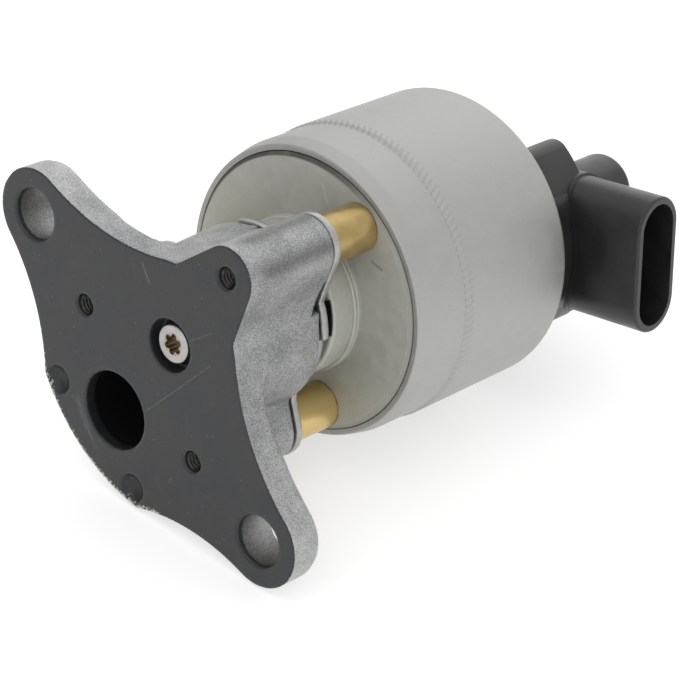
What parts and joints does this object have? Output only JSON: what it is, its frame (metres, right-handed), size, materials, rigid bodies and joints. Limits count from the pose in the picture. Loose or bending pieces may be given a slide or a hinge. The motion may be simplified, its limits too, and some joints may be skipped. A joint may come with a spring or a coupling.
{
  "type": "exhaust gas recirculation valve",
  "caption": "Flange-mounted electric exhaust gas recirculation valve with a stood-off round solenoid, a position sensor cap and a side connector.",
  "frame": {"origin": "midway between the two flange bolt holes, on the mounting face", "axes": "+Z away from the mounting face, parallel to the valve axis; +X along the line of the two flange bolts; +Y from the outlet port towards the lobe of the upper clamping screw"},
  "size_m": [0.0838, 0.0676, 0.096],
  "materials": {
    "can_steel": "satin plated can with slight mottling",
    "cap_plastic": "black moulded plastic",
    "casting": "blasted grey casting with a dark machined mounting face",
    "copper": "enamelled copper wire",
    "gasket": "dark fibre gasket",
    "gold_zinc": "smooth gold passivated zinc",
    "inner_plastic": "glass filled plastic",
    "plate_steel": "pressed steel",
    "pole_steel": "satin plated steel with a green grey tint",
    "screw_steel": "dark steel fastener",
    "seal_rubber": "seal rubber",
    "seat_steel": "ground seat ring",
    "sintered": "sintered metal",
    "spring_steel": "drawn spring wire",
    "stainless": "turned stainless steel",
    "terminal_brass": "tinned brass",
    "track_board": "ceramic board with resistive tracks"
  },
  "bodies": {
    "root": {"base_casting": "casting", "valve_seat": "seat_steel", "stem_bushing": "sintered", "gas_deflector": "stainless", "cover_gasket": "gasket", "cover_plate": "plate_steel", "spacers": "gold_zinc", "clamp_screws": "screw_steel", "pole_plate": "pole_steel", "stem_seal": "seal_rubber", "guide_sleeve": "stainless", "upper_pole": "pole_steel", "return_spring": "spring_steel", "bobbin": "inner_plastic", "coil_winding": "copper", "coil_terminals": "terminal_brass", "flux_washer": "pole_steel", "can_shell": "can_steel", "cap_seal": "seal_rubber", "sensor_cap": "cap_plastic", "connector_pins": "terminal_brass", "sensor_spring": "spring_steel", "sensor_board": "track_board"},
    "valve_stem": {"pintle": "stainless", "armature": "pole_steel", "armature_nut": "screw_steel"},
    "sensor_follower": {"sensor_plunger": "inner_plastic", "plunger_wiper": "terminal_brass"}
  },
  "joints": [
    {"name": "pintle_lift", "type": "slide", "parent": "root", "child": "valve_stem", "axis": [0, 0, 1], "range_m": [0, 0.0045], "stiffness_N_per_m": 2500, "springref_m": -0.006, "deforming": ["return_spring"]},
    {"name": "sensor_travel", "type": "slide", "parent": "root", "child": "sensor_follower", "axis": [0, 0, 1], "range_m": [0, 0.0045], "stiffness_N_per_m": 150, "springref_m": -0.006, "deforming": ["sensor_spring"]}
  ],
  "couplings": [
    {"joint": "sensor_travel", "follows": "pintle_lift", "ratio": 1}
  ]
}
